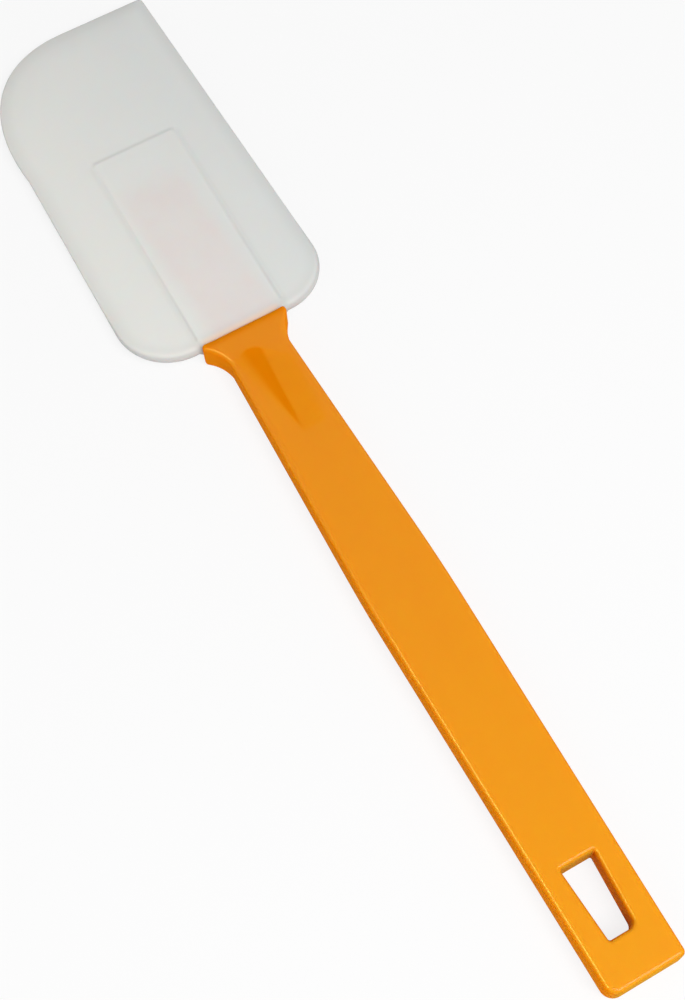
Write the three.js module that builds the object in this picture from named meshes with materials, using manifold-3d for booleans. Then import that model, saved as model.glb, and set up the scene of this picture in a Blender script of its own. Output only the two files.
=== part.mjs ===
// Spatula: a flat moulded handle with a hang hole, and a soft blade that pushes onto the handle's tongue.
// Millimetres. +X runs from the handle's end to the blade's tip, +Y is the side of the blade's round tip
// corner, and +Z is up. The origin is on the handle's underside, on its centre line, halfway along the length.
import * as THREE from "three";
import { mergeVertices } from "three/addons/utils/BufferGeometryUtils.js";
import Module from "manifold-3d";

// Fit between the two pieces
const FIT_GAP = 0.3; // clearance of the tongue in its socket and of the collar to the blade's base

// Handle bar
const HANDLE_LENGTH = 154; // end to the front of the collar
const HANDLE_THICKNESS = 6.9;
const HANDLE_EDGE_RADIUS = 0.9; // rounding of the rims of both faces, also round the hang hole
const END_WIDTH = 16;
const END_FACE_CORNER = 0.7; // radius of the end's corners inside their rounded rims
const HIP_WIDTH = 17.2; // widest place of the grip
const HIP_FROM_END = 86.5;
const HIP_BLEND = 9; // half the length of the soft bend at the hip
const NECK_WIDTH = 13.2; // where the flare to the collar starts
const FLARE_RADIUS = 7.8; // hollow sweep from the neck to the collar
const COLLAR_WIDTH = 20;
const COLLAR_SIDE = 0.5; // straight side of the collar between its rear and front corners
const COLLAR_FACE_CORNER = 0.25; // radius of the collar's corners inside their rounded rims

// Hang hole, a trapezoid that narrows towards the handle's end
const HOLE_FROM_END = 8.6;
const HOLE_LENGTH = 14.8;
const HOLE_NARROW_WIDTH = 5.5;
const HOLE_WIDE_WIDTH = 7.2;
const HOLE_NARROW_CORNER = 0.8;
const HOLE_WIDE_CORNER = 0.5;

// Shallow hollow on the neck's upper face, round at the collar and pointed towards the hand
const HOLLOW_LENGTH = 26;
const HOLLOW_WIDTH = 6.4;
const HOLLOW_DEPTH = 0.4;
const HOLLOW_FROM_COLLAR = 5;
const HOLLOW_TAPER = 0.6; // below 1, its widest place lies nearer the collar

// Tongue, which carries the blade
const TONGUE_LENGTH = 46;
const TONGUE_WIDTH = 14.6;
const TONGUE_TIP_WIDTH = 13.8;
const TONGUE_THICKNESS = 1.6;
const TONGUE_FACE_CORNER = 2.1; // radius of its corners inside their rounded rims
const TONGUE_EDGE_RADIUS = 0.35;
const TONGUE_ROOT = 6; // how far its root runs into the collar

// Blade outline: half widths are measured from the handle's centre line
const BLADE_LENGTH = 94.5;
const ROUND_SIDE_BASE = 24.25;
const ROUND_SIDE_TIP = 23.35;
const SQUARE_SIDE_BASE = 23.75;
const SQUARE_SIDE_TIP = 21.75;
const ROUND_BASE_CORNER = 13; // reach of the base corner on the side of the round tip
const SQUARE_BASE_CORNER = 12; // reach of the base corner on the side of the square tip
const TIP_ROUND_LENGTH = 35.4; // reach of the round tip corner along the blade's side
const TIP_ROUND_WIDTH = 23.7; // reach of the round tip corner along the blade's end
const TIP_ROUND_SWELL = 2.8; // how far the tip corner's curve is drawn outwards where it leaves the side
const TIP_SQUARE_CORNER = 1;

// Blade thickness: a thick base, thinning to the tip and feathered to the side edges
const BASE_THICKNESS = 3;
const TIP_THICKNESS = 1.7;
const BASE_EDGE_THICKNESS = 2.7;
const THIN_EDGE_THICKNESS = 0.9;
const THICK_EDGE_LENGTH = 24; // how far from the base the thick edge runs before it is thin
const FEATHER_WIDTH = 9;
const EDGE_ROUNDING = 0.4;

// Raised pad over the socket, alike on both faces
const SOCKET_WALL = 0.9; // above and below the tongue
const PAD_SIDE_WALL = 2.4; // beside the tongue
const PAD_BEYOND_TONGUE = 9.7;
const PAD_RISE = 0.7; // height of the pad's sloped rim
const PAD_SLOPE = 1; // width of the pad's sloped rim
const PAD_FACE_CORNER = 0.6; // radius of the pad's corners inside their sloped rims

// Facets
const SAME_POINT = 1e-4; // points closer than this are one
const ROUND_CORNER = 0.5523; // handle of a cubic curve that draws a quarter circle
const TIP_FULLNESS = 0.665; // the tip corner is fuller than a quarter circle
const RIM_STEPS = 4;
const SOFT_RIM_STEPS = 2; // rims of the tongue and of the pad
const CORNER_STEPS = 4;
const BLADE_CORNER_STEPS = 9;
const BLADE_TIP_STEPS = 14;
const BLADE_SIDE_STEPS = 8;
const FEATHER_STEPS = 4;
const HOLLOW_STEPS = 14;
const HOLLOW_SIDES = 48;

const MIDDLE = HANDLE_THICKNESS / 2;
const PAD_LENGTH = TONGUE_LENGTH + PAD_BEYOND_TONGUE;
const PAD_WIDTH = TONGUE_WIDTH + 2 * (FIT_GAP + PAD_SIDE_WALL);
const PAD_THICKNESS = TONGUE_THICKNESS + 2 * (FIT_GAP + SOCKET_WALL);
const OVERALL_LENGTH = HANDLE_LENGTH + FIT_GAP + BLADE_LENGTH;

const wasm = await Module();
wasm.setup();

const mix = THREE.MathUtils.lerp;

function solid(geometry) {
  const bare = geometry.clone();
  bare.deleteAttribute("normal");
  bare.deleteAttribute("uv");
  const merged = mergeVertices(bare, SAME_POINT);
  const vertProperties = new Float32Array(merged.attributes.position.array);
  const triVerts = new Uint32Array(merged.index.array);
  return new wasm.Manifold(new wasm.Mesh({ numProp: 3, vertProperties, triVerts }));
}

function geometryOf(manifold) {
  const mesh = manifold.getMesh();
  const geometry = new THREE.BufferGeometry();
  geometry.setAttribute("position", new THREE.BufferAttribute(mesh.vertProperties, 3));
  geometry.setIndex(new THREE.BufferAttribute(mesh.triVerts, 1));
  geometry.computeVertexNormals();
  return geometry;
}

// Closed outline through corners that are rounded by cubic curves. Each corner says how far its curve reaches
// along the side before it and the side after it, in how many steps it is drawn, and in how many steps the side
// after it is cut. A swell draws the end of the curve outwards, to the right of the way round.
function roundedOutline(corners) {
  const points = [];
  corners.forEach((corner, i) => {
    const at = corner.at;
    const before = corners.at(i - 1);
    const after = corners[(i + 1) % corners.length];
    const fullness = corner.fullness ?? ROUND_CORNER;
    const back = before.at.clone().sub(at).normalize();
    const ahead = after.at.clone().sub(at).normalize();
    const outwards = new THREE.Vector2(ahead.y, -ahead.x);
    const start = at.clone().addScaledVector(back, corner.reach[0]);
    const end = at.clone().addScaledVector(ahead, corner.reach[1]);
    const curve = new THREE.CubicBezierCurve(
      start,
      start.clone().addScaledVector(back, -fullness * corner.reach[0]),
      end
        .clone()
        .addScaledVector(ahead, -fullness * corner.reach[1])
        .addScaledVector(outwards, corner.swell ?? 0),
      end,
    );
    points.push(...curve.getPoints(corner.steps ?? CORNER_STEPS));
    const next = after.at.clone().addScaledVector(ahead, -after.reach[0]);
    const sideSteps = corner.sideSteps ?? 1;
    for (let step = 1; step < sideSteps; step += 1) {
      points.push(end.clone().lerp(next, step / sideSteps));
    }
  });
  return points;
}

function corner(x, y, reach, options = {}) {
  return { at: new THREE.Vector2(x, y), reach: [reach, reach], ...options };
}

// Flat piece between two levels, with its rims rounded by a quarter of an ellipse
function flatPiece(shape, low, high, rimHeight, rimWidth, rimSteps) {
  const geometry = new THREE.ExtrudeGeometry(shape, {
    depth: high - low - 2 * rimHeight,
    bevelThickness: rimHeight,
    bevelSize: rimWidth,
    bevelOffset: -rimWidth,
    bevelSegments: rimSteps,
    curveSegments: CORNER_STEPS,
  });
  return geometry.translate(0, 0, low + rimHeight);
}

// Half of the handle's outline, from its end to the front of the collar
function handleSide() {
  const end = END_WIDTH / 2;
  const hip = HIP_WIDTH / 2;
  const neck = NECK_WIDTH / 2;
  const collar = COLLAR_WIDTH / 2;
  const endCorner = HANDLE_EDGE_RADIUS + END_FACE_CORNER;
  const collarCorner = HANDLE_EDGE_RADIUS + COLLAR_FACE_CORNER;
  const collarInside = collar - collarCorner;
  const front = HANDLE_LENGTH - collarCorner;
  const rear = front - COLLAR_SIDE;
  const sweep = FLARE_RADIUS + collarCorner;
  const flareTurn = Math.acos(1 - (collar - neck) / sweep);
  const flareStart = rear - sweep * Math.sin(flareTurn);
  const gripSlope = (hip - end) / HIP_FROM_END;
  const neckSlope = (neck - hip) / (flareStart - HIP_FROM_END);
  const side = new THREE.Path();
  side.moveTo(0, end - endCorner);
  side.absarc(endCorner, end - endCorner, endCorner, Math.PI, Math.PI / 2, true);
  side.lineTo(HIP_FROM_END - HIP_BLEND, hip - gripSlope * HIP_BLEND);
  side.quadraticCurveTo(HIP_FROM_END, hip, HIP_FROM_END + HIP_BLEND, hip + neckSlope * HIP_BLEND);
  side.lineTo(flareStart, neck);
  side.absarc(flareStart, neck + FLARE_RADIUS, FLARE_RADIUS, -Math.PI / 2, flareTurn - Math.PI / 2, false);
  side.absarc(rear, collarInside, collarCorner, flareTurn + Math.PI / 2, Math.PI / 2, true);
  side.absarc(front, collarInside, collarCorner, Math.PI / 2, 0, true);
  return side.getPoints(CORNER_STEPS);
}

// Filters that leave out points of an outline: those that repeat the one before, and those where it runs straight
function isApart(point, i, points) {
  return i === 0 || point.distanceTo(points[i - 1]) > SAME_POINT;
}

function isTurn(point, i, points) {
  if (i === 0 || i === points.length - 1) {
    return true;
  }
  const ahead = points[i + 1].clone().sub(points[i - 1]).normalize();
  const aside = ahead.cross(point.clone().sub(points[i - 1]));
  return Math.abs(aside) > SAME_POINT;
}

function handleBar() {
  const left = handleSide().filter(isApart).filter(isTurn);
  const right = left.map((point) => new THREE.Vector2(point.x, -point.y));
  const shape = new THREE.Shape([...right, ...left.reverse()]);
  const narrow = HOLE_FROM_END;
  const wide = HOLE_FROM_END + HOLE_LENGTH;
  const hole = roundedOutline([
    corner(narrow, HOLE_NARROW_WIDTH / 2, HOLE_NARROW_CORNER),
    corner(narrow, -HOLE_NARROW_WIDTH / 2, HOLE_NARROW_CORNER),
    corner(wide, -HOLE_WIDE_WIDTH / 2, HOLE_WIDE_CORNER),
    corner(wide, HOLE_WIDE_WIDTH / 2, HOLE_WIDE_CORNER),
  ]);
  shape.holes.push(new THREE.Path(hole));
  const rim = HANDLE_EDGE_RADIUS;
  return solid(flatPiece(shape, 0, HANDLE_THICKNESS, rim, rim, RIM_STEPS));
}

// Tongue from its root in the collar to its tip, with the collar's front at x = 0 and its middle at z = 0.
// The socket in the blade is the same form, larger by the clearance.
function tongue(clearance) {
  const root = TONGUE_WIDTH / 2 + clearance;
  const tip = TONGUE_TIP_WIDTH / 2 + clearance;
  const end = TONGUE_LENGTH + clearance;
  const half = TONGUE_THICKNESS / 2 + clearance;
  const rim = TONGUE_EDGE_RADIUS;
  const round = rim + TONGUE_FACE_CORNER;
  const outline = roundedOutline([
    corner(-TONGUE_ROOT, root, round),
    corner(-TONGUE_ROOT, -root, round),
    corner(end, -tip, round),
    corner(end, tip, round),
  ]);
  return solid(flatPiece(new THREE.Shape(outline), -half, half, rim, rim, SOFT_RIM_STEPS));
}

// Drop-shaped body lying along the neck. Its axis is one depth above the face and it reaches two depths down,
// which cuts a soft hollow one depth deep, and the root of three gives the radius for its width at the face.
function neckHollow() {
  const radius = HOLLOW_WIDTH / Math.sqrt(3);
  const profile = [];
  for (let step = 0; step <= HOLLOW_STEPS; step += 1) {
    const along = step / HOLLOW_STEPS;
    const blunt = Math.pow(along, HOLLOW_TAPER);
    profile.push(new THREE.Vector2(radius * Math.sin(Math.PI * blunt), along * HOLLOW_LENGTH));
  }
  profile[0].x = 0;
  profile[HOLLOW_STEPS].x = 0;
  const drop = new THREE.LatheGeometry(profile, HOLLOW_SIDES);
  drop.rotateZ(Math.PI / 2);
  drop.scale(1, 1, (2 * HOLLOW_DEPTH) / radius);
  drop.translate(HANDLE_LENGTH - HOLLOW_FROM_COLLAR, 0, HANDLE_THICKNESS + HOLLOW_DEPTH);
  return solid(drop);
}

function handleGeometry() {
  const blank = handleBar().add(tongue(0).translate([HANDLE_LENGTH, 0, MIDDLE]));
  return geometryOf(blank.subtract(neckHollow()));
}

// Blade outline drawn in by an inset, anticlockwise, with the base at x = 0
function bladeOutline(inset) {
  const drawnIn = (reach) => Math.max(reach - inset, EDGE_ROUNDING);
  const side = (base, tip, x) => {
    const slope = (tip - base) / BLADE_LENGTH;
    return base + slope * x - inset * Math.hypot(1, slope);
  };
  const base = inset;
  const tip = BLADE_LENGTH - inset;
  const squareBase = corner(base, -side(SQUARE_SIDE_BASE, SQUARE_SIDE_TIP, base), drawnIn(SQUARE_BASE_CORNER), {
    steps: BLADE_CORNER_STEPS,
    sideSteps: BLADE_SIDE_STEPS,
  });
  const squareTip = corner(tip, -side(SQUARE_SIDE_BASE, SQUARE_SIDE_TIP, tip), drawnIn(TIP_SQUARE_CORNER));
  const roundTip = corner(tip, side(ROUND_SIDE_BASE, ROUND_SIDE_TIP, tip), 0, {
    reach: [drawnIn(TIP_ROUND_WIDTH), drawnIn(TIP_ROUND_LENGTH)],
    fullness: TIP_FULLNESS,
    swell: TIP_ROUND_SWELL,
    steps: BLADE_TIP_STEPS,
    sideSteps: BLADE_SIDE_STEPS,
  });
  const roundBase = corner(base, side(ROUND_SIDE_BASE, ROUND_SIDE_TIP, base), drawnIn(ROUND_BASE_CORNER), {
    steps: BLADE_CORNER_STEPS,
  });
  return roundedOutline([squareBase, squareTip, roundTip, roundBase]);
}

// Half of the blade's thickness at a distance from the base, inside the feathered border and at the edge itself
function coreHalf(x) {
  return mix(BASE_THICKNESS, TIP_THICKNESS, x / BLADE_LENGTH) / 2;
}

function edgeHalf(x) {
  const thin = THREE.MathUtils.smoothstep(x, 0, THICK_EDGE_LENGTH);
  return mix(BASE_EDGE_THICKNESS, THIN_EDGE_THICKNESS, thin) / 2;
}

// Rings of the upper half of the blade, from its rim at mid thickness to the inner end of the feathered border
function bladeRings() {
  const rings = [];
  for (let step = 0; step <= RIM_STEPS; step += 1) {
    const turn = (step / RIM_STEPS) * (Math.PI / 2);
    const outline = bladeOutline(EDGE_ROUNDING * (1 - Math.cos(turn)));
    rings.push(outline.map((p) => new THREE.Vector3(p.x, p.y, edgeHalf(p.x) * Math.sin(turn))));
  }
  for (let step = 1; step <= FEATHER_STEPS; step += 1) {
    const along = step / FEATHER_STEPS;
    const rise = Math.sin((along * Math.PI) / 2);
    const outline = bladeOutline(mix(EDGE_ROUNDING, FEATHER_WIDTH, along));
    rings.push(outline.map((p) => new THREE.Vector3(p.x, p.y, mix(edgeHalf(p.x), coreHalf(p.x), rise))));
  }
  return rings;
}

function bladeSheet() {
  const upper = bladeRings();
  const lower = upper.slice(1).map((ring) => ring.map((p) => new THREE.Vector3(p.x, p.y, -p.z)));
  const rings = [...lower.reverse(), ...upper];
  const around = rings[0].length;
  const indices = [];
  for (let ring = 0; ring < rings.length - 1; ring += 1) {
    for (let i = 0; i < around; i += 1) {
      const a = ring * around + i;
      const b = ring * around + ((i + 1) % around);
      indices.push(a, b, b + around, a, b + around, a + around);
    }
  }
  const top = (rings.length - 1) * around;
  const cap = rings.at(-1).map((p) => new THREE.Vector2(p.x, p.y));
  for (const [a, b, c] of THREE.ShapeUtils.triangulateShape(cap, [])) {
    indices.push(top + a, top + b, top + c);
    indices.push(c, b, a);
  }
  const geometry = new THREE.BufferGeometry().setFromPoints(rings.flat());
  geometry.setIndex(indices);
  return solid(geometry);
}

// Raised pad, drawn from behind the base and cut off flush with it
function bladePad() {
  const half = PAD_WIDTH / 2;
  const round = PAD_SLOPE + PAD_FACE_CORNER;
  const behind = -2 * round;
  const outline = roundedOutline([
    corner(behind, half, round),
    corner(behind, -half, round),
    corner(PAD_LENGTH, -half, round),
    corner(PAD_LENGTH, half, round),
  ]);
  const thick = PAD_THICKNESS / 2;
  const pad = solid(flatPiece(new THREE.Shape(outline), -thick, thick, PAD_RISE, PAD_SLOPE, SOFT_RIM_STEPS));
  const room = new THREE.BoxGeometry(BLADE_LENGTH, 2 * PAD_WIDTH, 2 * PAD_THICKNESS);
  return pad.intersect(solid(room.translate(BLADE_LENGTH / 2, 0, 0)));
}

function bladeGeometry() {
  const socket = tongue(FIT_GAP).translate([-FIT_GAP, 0, 0]);
  return geometryOf(bladeSheet().add(bladePad()).subtract(socket));
}

const orangePlastic = new THREE.MeshStandardMaterial({ color: 0xee9a1f, roughness: 0.28, metalness: 0 });
const whiteRubber = new THREE.MeshStandardMaterial({ color: 0xdededa, roughness: 0.55, metalness: 0 });

const handle = new THREE.Mesh(handleGeometry(), orangePlastic);
handle.name = "handle";

const blade = new THREE.Mesh(bladeGeometry(), whiteRubber);
blade.name = "blade";
blade.position.set(HANDLE_LENGTH + FIT_GAP, 0, MIDDLE);

const lengthwise = new THREE.Group();
lengthwise.position.x = -OVERALL_LENGTH / 2;
lengthwise.add(handle, blade);

const spatula = new THREE.Group();
spatula.add(lengthwise);

export default spatula;
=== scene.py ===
"""Spatula: a glossy moulded handle with a tongue, and a soft blade that pushes onto it."""
import math

import bpy
import numpy as np
from bpy.props import FloatProperty, FloatVectorProperty, PointerProperty
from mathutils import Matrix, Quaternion, Vector, geometry, kdtree


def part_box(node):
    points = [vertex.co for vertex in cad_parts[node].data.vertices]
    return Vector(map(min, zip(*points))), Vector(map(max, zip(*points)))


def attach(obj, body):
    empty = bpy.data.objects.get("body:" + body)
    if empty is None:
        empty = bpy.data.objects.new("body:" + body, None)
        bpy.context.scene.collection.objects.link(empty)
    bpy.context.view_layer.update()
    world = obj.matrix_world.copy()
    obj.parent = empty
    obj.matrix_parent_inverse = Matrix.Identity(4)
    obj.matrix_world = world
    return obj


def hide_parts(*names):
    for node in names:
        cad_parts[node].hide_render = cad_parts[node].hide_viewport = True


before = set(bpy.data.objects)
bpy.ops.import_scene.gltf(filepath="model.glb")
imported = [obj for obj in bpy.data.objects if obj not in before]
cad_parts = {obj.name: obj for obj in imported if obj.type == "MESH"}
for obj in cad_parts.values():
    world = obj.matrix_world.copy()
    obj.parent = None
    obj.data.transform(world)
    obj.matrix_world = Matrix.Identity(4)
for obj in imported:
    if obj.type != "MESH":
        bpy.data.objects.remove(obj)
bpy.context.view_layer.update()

bl_info = {
    "name": "Spatula",
    "version": (1, 0, 0),
    "blender": (4, 5, 0),
    "location": "3D View > Sidebar > Spatula",
    "description": "Builds a spatula with a push-on blade round its packed frame",
    "category": "Add Mesh",
}

# Places that the frame gives, in metres
HANDLE_LOW, HANDLE_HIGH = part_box("handle")
BLADE_LOW, BLADE_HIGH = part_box("blade")
HANDLE_END = HANDLE_LOW.x
TONGUE_TIP = HANDLE_HIGH.x
UNDERSIDE = HANDLE_LOW.z
TOP = HANDLE_HIGH.z
MIDDLE = (UNDERSIDE + TOP) / 2
COLLAR_HALF = HANDLE_HIGH.y
BLADE_BASE = BLADE_LOW.x
BLADE_TIP = BLADE_HIGH.x
BLADE_LENGTH = BLADE_TIP - BLADE_BASE
PAD_HALF_THICKNESS = (BLADE_HIGH.z - BLADE_LOW.z) / 2

# How finely the surfaces are cut
OUTLINE_STEP = 0.0007
CORNER_STEPS = 12
CURVE_STEPS = 40
RIM_STEPS = 8
RIM_HOLD = 0.00012
GRIP_LATTICE = 0.003
NECK_LATTICE = 0.00055
BLADE_LATTICE = 0.0014
PAD_STEP = 0.0004
LATTICE_CLEARANCE = 0.6
PAD_OFFSETS = np.linspace(-0.002, 0.001, 13)
FOOT_SLOPE = 4
CDT_SCALE = 1000
CDT_INSIDE = 1
MERGE_DISTANCE = 1e-7
SHARP_ANGLE = math.radians(40)
QUARTER_TURN = math.pi / 2

# Rules of the shapes that no size sets
ROUND_CORNER = 0.5523
PARTING_LAND = 0.04
END_RIM_REACH = 3
FRONT_RIM_REACH = 2
HOLLOW_FALL = 4
SIDE_SIZES = {
    "corner": "end_corner",
    "hip": "hip",
    "neck": "neck",
    "radius": "flare",
    "bend": "flare_bend",
}

# Numbers of sockets and faces that the node trees use
MIX_FACTOR, MIX_FIRST, MIX_SECOND, MIX_COLOUR = 0, 6, 7, 2
BORDER_FACES, COUNT_TOLERANCE = 1, 0.5

# Plain colours
BLACK = (0, 0, 0)
WHITE = (1, 1, 1)

# Patterns in the finishes: scale per metre, detail, and stretch along the axes
NOISE_MEAN = 0.5
PLASTIC_CLOUD = {"scale": 70, "detail": 3}
PLASTIC_FLOW = {"scale": 160, "detail": 3, "stretch": (0.12, 1, 1)}
PLASTIC_HANDLING = {"scale": 260, "detail": 4}
PLASTIC_RIPPLE = {"scale": 420, "detail": 1}
PLASTIC_GRAIN = {"scale": 5000, "detail": 2}
RUBBER_CLOUD = {"scale": 60, "detail": 3}
RUBBER_PATCH = {"scale": 120, "detail": 2}
RUBBER_GRAIN = {"scale": 2600, "detail": 3}
RUBBER_RIPPLE = {"scale": 700, "detail": 2}
PAPER_SPECKLE = {"scale": 40, "detail": 3}

# Plastic: how much the patterns change it, and the spans over which its masks rise, the masks of
# painted shade among them
PLASTIC_MOTTLE = 0.3
HANDLING_LOSS = 0.2
RIPPLE_SHARE, GRAIN_SHARE = 0.8, 0.2
PLASTIC_BUMP = {"Strength": 0.25, "Distance": 0.00003}
HOLLOW_CREASE_SPAN = (-0.12, 0.08)
HOLLOW_OUTER_SPAN = (0.55, 1.1)
HOLLOW_DEPTH_SPAN = (0, 0.25)
DULL_DEPTH_SPAN = (0, 0.05)
DULL_INNER_SPAN = (-1.2, -0.9)
DULL_OUTER_SPAN = (1.1, 1.4)
# Band of painted shade along the collar's front, and how much of the shade colour it takes
FRONT_SHADE_START, FRONT_SHADE_FULL, FRONT_SHADE_SHARE = 0.0026, 0.0008, 0.75
SIDE_WALL_SPAN = (0.2, 0.9)
FACE_SPAN = (0.5, 0.985)
GLOSSY_SPAN = (0.7, 0.9)
GLOSSY_DEPTH_SPAN = (0.0008, 0.001)
PLASTIC_SHADER = {
    "Specular IOR Level": 0,
    "Subsurface Weight": 0.35,
    "Subsurface Radius": (1, 0.4, 0.06),
    "Subsurface Scale": 0.0025,
    "Coat IOR": 1.5,
}

# Rubber: shares of its colours, and the places and widths of its tints; most of these tints are painted
# shade or painted bounce light
RUBBER_SHADE_AND_MOTTLE = 0.3
# Painted shade: how far the blade leans to its shaded colour, and over what width across
SIDE_SHADE_SHARE, SIDE_SHADE_WIDTH = 0.35, 0.035
WARM_LEAN, WARM_SHIFT = 0.0022, -0.0012
WARM_INSIDE, WARM_OUTSIDE = 0.002, 0.0025
WARM_BEFORE_TIP, WARM_PAST_TIP = 0.007, 0.003
WARM_LEAST, WARM_PATCH = 0.15, 0.85
# Painted bounce light next to the collar: how far it reaches along, and in from the collar's sides
BOUNCE_LENGTH, BOUNCE_SIDE = 0.0022, 0.002
# Width of the painted shade along the blade's edge
BORDER_SHADE_WIDTH = 0.004
RUBBER_FACE_SPAN = (0.65, 0.995)
ROUGHNESS_PATCH = 0.12
RUBBER_BUMP = {"Strength": 0.2, "Distance": 0.00003}
RUBBER_SHADER = {
    "IOR": 1.41,
    "Specular IOR Level": 0.1,
    "Subsurface Weight": 0.15,
    "Subsurface Scale": 0.001,
}

# Stage: lamps that aim at the origin, the sky's parts, the floor and the camera's sensor
FRONT_LAMP = {"place": (-0.4, -0.07, 0.62), "size": (0.42, 0.42), "colour": WHITE}
SIDE_LAMP = {"place": (-0.1, 0.6, 0.5), "size": (0.5, 0.5), "colour": WHITE}
STRIP_LAMP = {"place": (-0.05, 0.55, 0.8), "size": (0.6, 0.07), "colour": (1, 0.9, 0.2)}
SKY_DOME, SKY_HORIZON, SKY_SEEN = 0.3, 1.3, 1
SKY_PATCH_TOWARDS = (0.36, -0.55, 0.75)
SKY_PATCH_LOSS = 0.28
SKY_PATCH_SPAN = (0.866, 0.978)
HORIZON_SPAN = (0.1, 0.4)
FLOOR_SIZE = 8.0
FLOOR_GAP = 0.0002
FLOOR_SPECK = (0.7, 0.7, 0.7)
SPECK_SHARE = 0.1
FLOOR_WHITENESS = 0.83
FLOOR_FADE_SPAN = (0.2, 1.2)
SENSOR = 36.0


def length(name, description, default):
    return FloatProperty(
        name=name, description=description, default=default, unit="LENGTH", precision=5
    )


def angle(name, description, degrees):
    return FloatProperty(
        name=name, description=description, default=math.radians(degrees), subtype="ANGLE"
    )


def colour(name, description, default):
    return FloatVectorProperty(
        name=name, description=description, default=default, subtype="COLOR", size=3, min=0, max=1
    )


def share(name, description, default):
    return FloatProperty(
        name=name, description=description, default=default, min=0, max=1, subtype="FACTOR"
    )


def place(name, description, default):
    return FloatVectorProperty(
        name=name, description=description, default=default, subtype="TRANSLATION", unit="LENGTH"
    )


def power(name, description, default):
    return FloatProperty(name=name, description=description, default=default, unit="POWER")


class HandleSizes(bpy.types.PropertyGroup):
    """Sizes of the handle"""

    fit_gap: length("Fit gap", "Clearance between the handle and the blade", 0.0003)
    end_width: length("End width", "Width of the grip at its end", 0.016)
    end_corner_left: length("End corner, left", "Radius of the end's corner on the left", 0.0026)
    end_corner_right: length("End corner, right", "Radius of the end's corner on the right", 0.0011)
    hip_left: length("Hip, left", "Half width of the grip at its widest place, on the left", 0.0086)
    hip_right: length("Hip, right", "Half width of the grip at its widest place, on the right", 0.00885)
    hip_place: length("Hip place", "Distance of the widest place from the end", 0.0865)
    hip_blend: length("Hip blend", "Half the length of the soft bend at the hip", 0.009)
    neck_left: length("Neck, left", "Half width where the left flare to the collar starts", 0.0066)
    neck_right: length("Neck, right", "Half width where the right flare to the collar starts", 0.007)
    flare_left: length("Flare, left", "Radius of the left sweep from the neck to the collar", 0.01)
    flare_right: length("Flare, right", "Radius of the right sweep from the neck to the collar", 0.02)
    flare_bend_left: angle("Flare bend, left", "Bend where the left sweep starts", 8)
    flare_bend_right: angle("Flare bend, right", "Bend where the right sweep starts", 13)
    collar_corner: length("Collar corner", "Radius of the collar's corners", 0.0007)
    collar_side: length("Collar side", "Straight side between the collar's corners", 0.0002)
    rim: length("Rim", "Depth of the rounded rims of both faces", 0.0009)
    end_rim: length("End rim", "Width of the rounded rims at the end and round the hole", 0.0009)
    grip_rim: length("Grip rim", "Width of the rounded rims along the grip", 0.0013)
    neck_rim: length("Neck rim", "Width of the softer rims along the neck", 0.0022)
    collar_rim: length("Collar rim", "Width of the rounded rims at the collar's corners", 0.0005)
    front_rim: length("Front rim", "Width of the rounded rims along the collar's front", 0.0013)
    hole_place: length("Hole place", "Distance of the hang hole from the end", 0.0086)
    hole_length: length("Hole length", "Length of the hang hole", 0.0148)
    hole_narrow: length("Hole narrow width", "Width of the hang hole next to the end", 0.0055)
    hole_wide: length("Hole wide width", "Width of the hang hole at its other side", 0.0072)
    hole_corner: length("Hole corner", "Reach of the hole's corners", 0.0004)
    hole_round_corner: length("Hole round corner", "Reach of the hole's one round corner", 0.0014)
    hollow_top: length("Hollow top", "Distance of the neck's hollow from the collar's front", 0.0053)
    hollow_length: length("Hollow length", "Length of the hollow, down to its point", 0.024)
    hollow_width: length("Hollow width", "Width of the hollow's slanted facet at its top", 0.0055)
    hollow_depth: length("Hollow depth", "Depth of the hollow at its top", 0.0004)
    hollow_drift: length("Hollow drift", "How far the hollow's crease drifts sideways", 0.0017)
    hollow_run: length("Hollow run", "Width of the hollow's gentle side", 0.005)
    hollow_end: length("Hollow end", "Length over which the hollow's top fades", 0.0028)
    hollow_bow: length("Hollow bow", "How far the hollow's round top bows", 0.0012)
    tongue_width: length("Tongue width", "Width of the tongue at its root", 0.0146)
    tongue_tip: length("Tongue tip width", "Width of the tongue at its tip", 0.0138)
    tongue_thickness: length("Tongue thickness", "Thickness of the tongue", 0.0016)
    tongue_corner: length("Tongue corner", "Radius of the tongue's corners", 0.00245)
    tongue_rim: length("Tongue rim", "Rounding of the tongue's rims", 0.00035)
    tongue_root: length("Tongue root", "How far the tongue runs into the collar", 0.006)


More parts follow.
